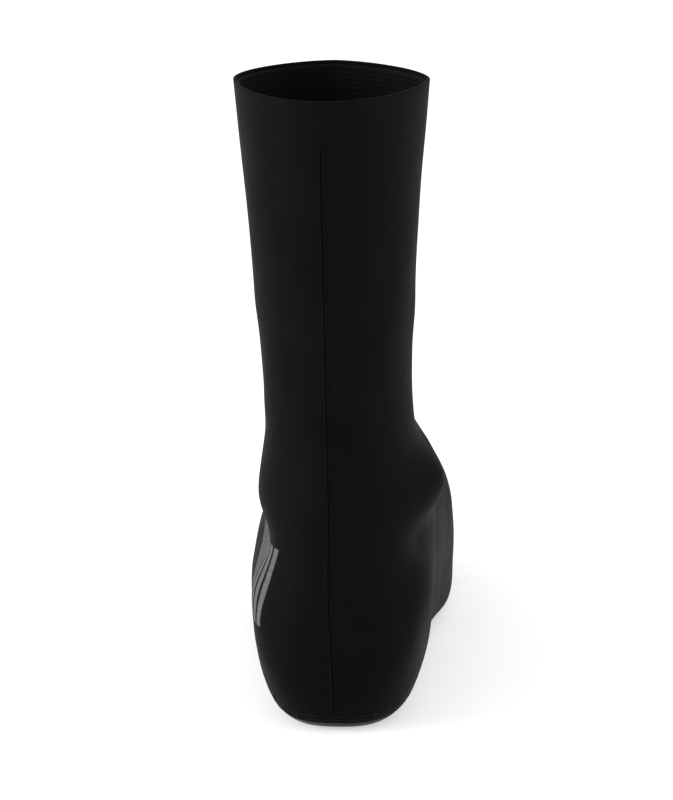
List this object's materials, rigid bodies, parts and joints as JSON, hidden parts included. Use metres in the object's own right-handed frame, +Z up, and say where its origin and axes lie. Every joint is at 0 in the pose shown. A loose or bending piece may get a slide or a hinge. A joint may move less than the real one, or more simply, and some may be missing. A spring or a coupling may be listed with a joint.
{
  "type": "cycling overshoe",
  "caption": "Left cycling overshoe: slip-on fabric cover with a tall shaft over the ankle, a coated sole panel with cleat and heel openings, and a gripper band in the collar.",
  "frame": {"origin": "on the floor under the middle of the shoe's bounding box", "axes": "+Z up, +Y toward the toe, +X toward the inner side of the foot"},
  "size_m": [0.0912, 0.2844, 0.2705],
  "materials": {
    "upper": "matt stretch knit, near black",
    "sole_panel": "satin coated fabric, near black",
    "collar_band": "matt gripper tape, near black"
  },
  "bodies": {
    "root": {"upper": "upper", "sole_panel": "sole_panel", "collar_band": "collar_band"}
  },
  "joints": []
}
